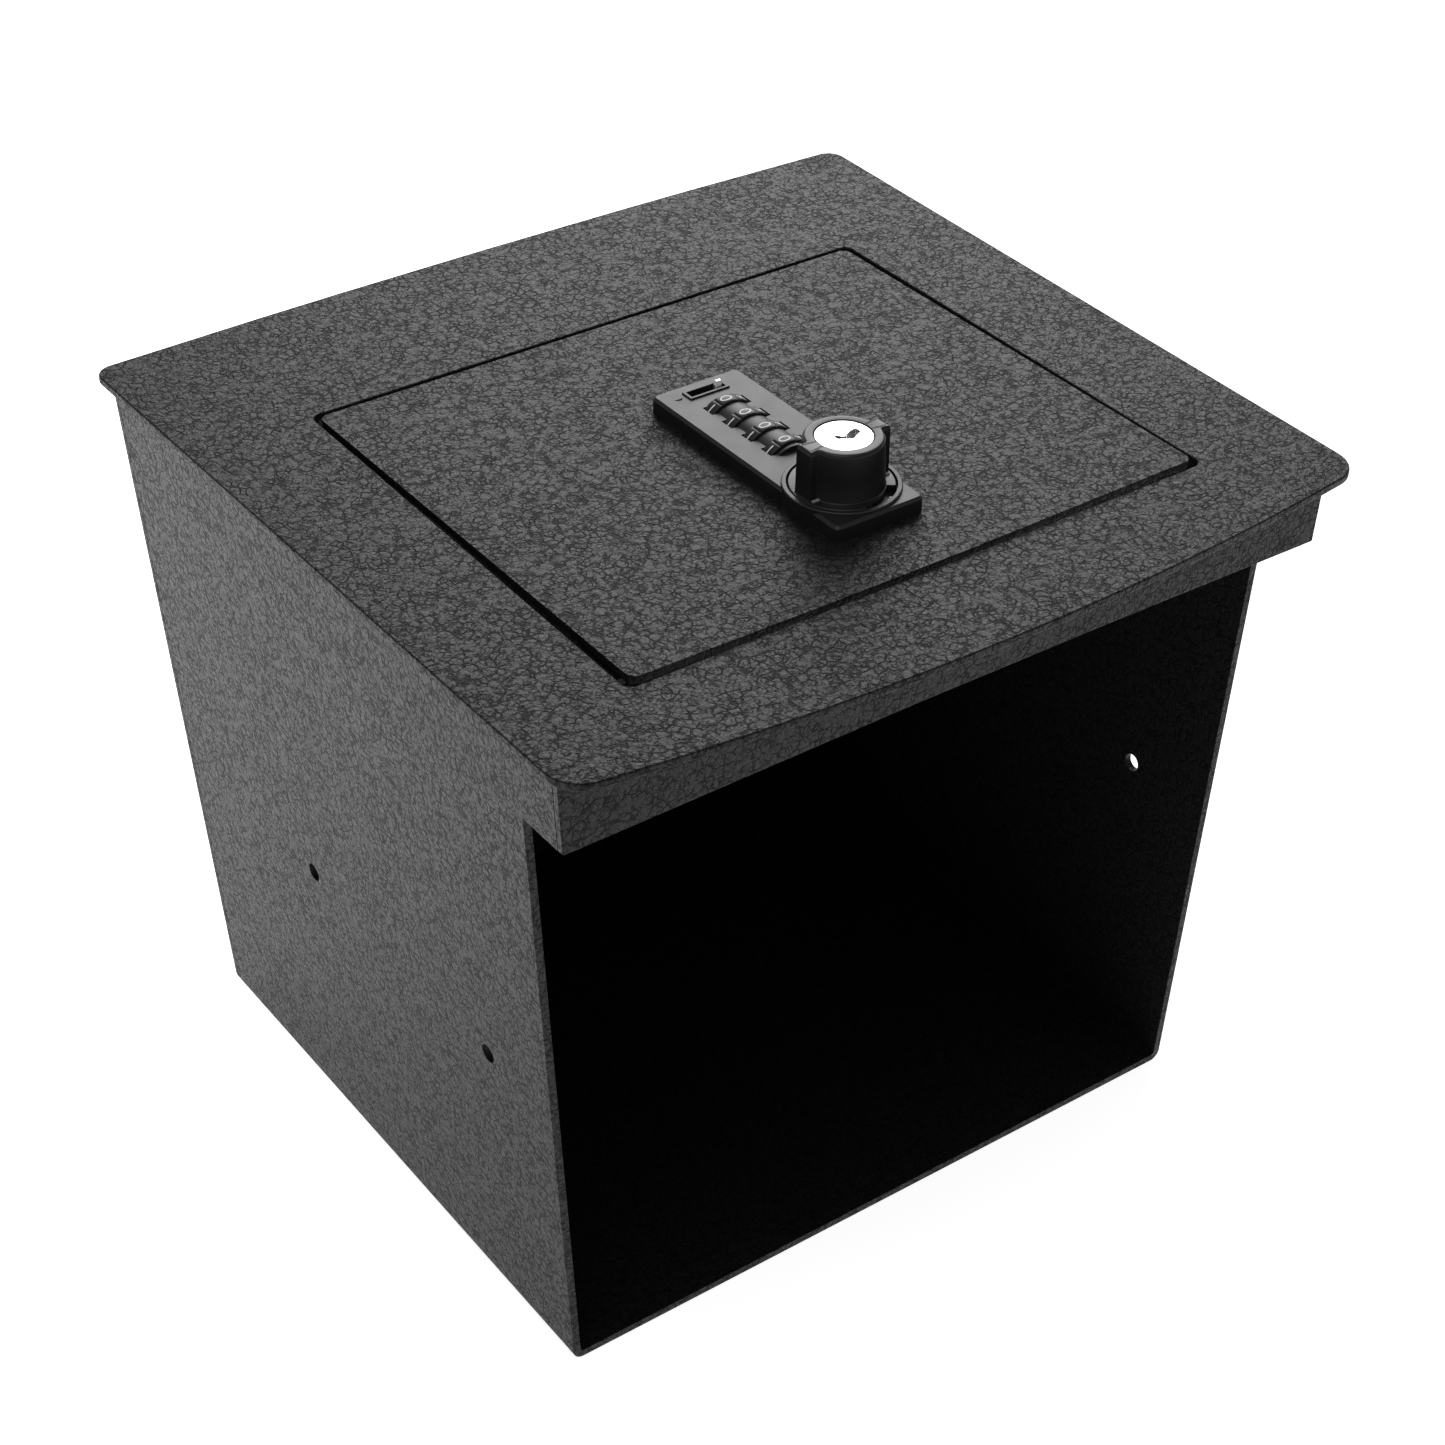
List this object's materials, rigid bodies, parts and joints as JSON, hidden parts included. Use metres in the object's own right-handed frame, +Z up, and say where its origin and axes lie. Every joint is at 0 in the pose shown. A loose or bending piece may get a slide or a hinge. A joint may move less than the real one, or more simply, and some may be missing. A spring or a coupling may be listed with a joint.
{
  "type": "console vault box",
  "caption": "Flared open-front steel vault box with an overhanging top flange and a hinged lid that carries a dial combination lock with a key knob.",
  "frame": {"origin": "bottom centre of the whole object, on the floor underside", "axes": "+Z up, -Y out of the open front and towards the front lip, +X to the right when facing the open front from outside"},
  "size_m": [0.3064, 0.292, 0.2877],
  "materials": {
    "powder_coated_steel": "black wrinkle powder coat, semi-matt, about 1 to 2 mm grain",
    "zinc_plated_steel": "zinc plated",
    "rubber_pad": "matt black rubber",
    "black_lock_case": "fine satin black, moulded or painted die-cast",
    "lock_rear_body": "satin black",
    "black_knob": "semi-gloss black",
    "nickel_plug": "satin nickel",
    "bright_slide": "bright nickel",
    "number_dials": "satin black with white numerals"
  },
  "bodies": {
    "box": {"body_shell": "powder_coated_steel", "back_panel": "powder_coated_steel", "top_frame": "powder_coated_steel", "front_lip": "powder_coated_steel", "latch_keeper": "powder_coated_steel", "hinge_bracket_left": "powder_coated_steel", "hinge_bracket_right": "powder_coated_steel", "hinge_pin_left": "zinc_plated_steel", "hinge_pin_right": "zinc_plated_steel", "lid_rest_left": "powder_coated_steel", "lid_rest_right": "powder_coated_steel", "rest_pad_left": "rubber_pad", "rest_pad_right": "rubber_pad"},
    "lid": {"lid_panel": "powder_coated_steel", "hinge_ear_left": "powder_coated_steel", "hinge_ear_right": "powder_coated_steel", "lock_case": "black_lock_case", "lock_body": "lock_rear_body", "dial_spindle": "zinc_plated_steel", "lock_screw_front": "zinc_plated_steel", "lock_screw_left": "zinc_plated_steel", "lock_screw_right": "zinc_plated_steel"},
    "knob": {"lock_knob": "black_knob", "knob_shaft": "zinc_plated_steel", "lock_cam": "zinc_plated_steel", "cam_screw": "zinc_plated_steel"},
    "plug": {"key_plug": "nickel_plug"},
    "dial_1": {"dial_1": "number_dials"},
    "dial_2": {"dial_2": "number_dials"},
    "dial_3": {"dial_3": "number_dials"},
    "dial_4": {"dial_4": "number_dials"},
    "slide": {"reset_slide": "bright_slide"}
  },
  "joints": [
    {"name": "lid_hinge", "type": "hinge", "parent": "box", "child": "lid", "pos_m": [0, 0.0634, 0.2568], "axis": [-1, 0, 0], "range_deg": [0, 100]},
    {"name": "knob_turn", "type": "hinge", "parent": "lid", "child": "knob", "pos_m": [0.00045, -0.05946, 0.27457], "axis": [0, -0.0079, -1], "range_deg": [0, 90]},
    {"name": "key_turn", "type": "hinge", "parent": "knob", "child": "plug", "pos_m": [0.00045, -0.05942, 0.27957], "axis": [0, -0.0079, -1], "range_deg": [0, 90]},
    {"name": "dial_1_spin", "type": "hinge", "parent": "lid", "child": "dial_1", "pos_m": [0.00045, 0.00044, 0.26179], "axis": [0, 1, -0.0079], "continuous": true},
    {"name": "dial_2_spin", "type": "hinge", "parent": "lid", "child": "dial_2", "pos_m": [0.00045, -0.00996, 0.26188], "axis": [0, 1, -0.0079], "continuous": true},
    {"name": "dial_3_spin", "type": "hinge", "parent": "lid", "child": "dial_3", "pos_m": [0.00045, -0.02036, 0.26196], "axis": [0, 1, -0.0079], "continuous": true},
    {"name": "dial_4_spin", "type": "hinge", "parent": "lid", "child": "dial_4", "pos_m": [0.00045, -0.03076, 0.26204], "axis": [0, 1, -0.0079], "continuous": true},
    {"name": "reset_slide_travel", "type": "slide", "parent": "lid", "child": "slide", "axis": [1, 0, 0], "range_m": [-0.0094, 0]}
  ]
}
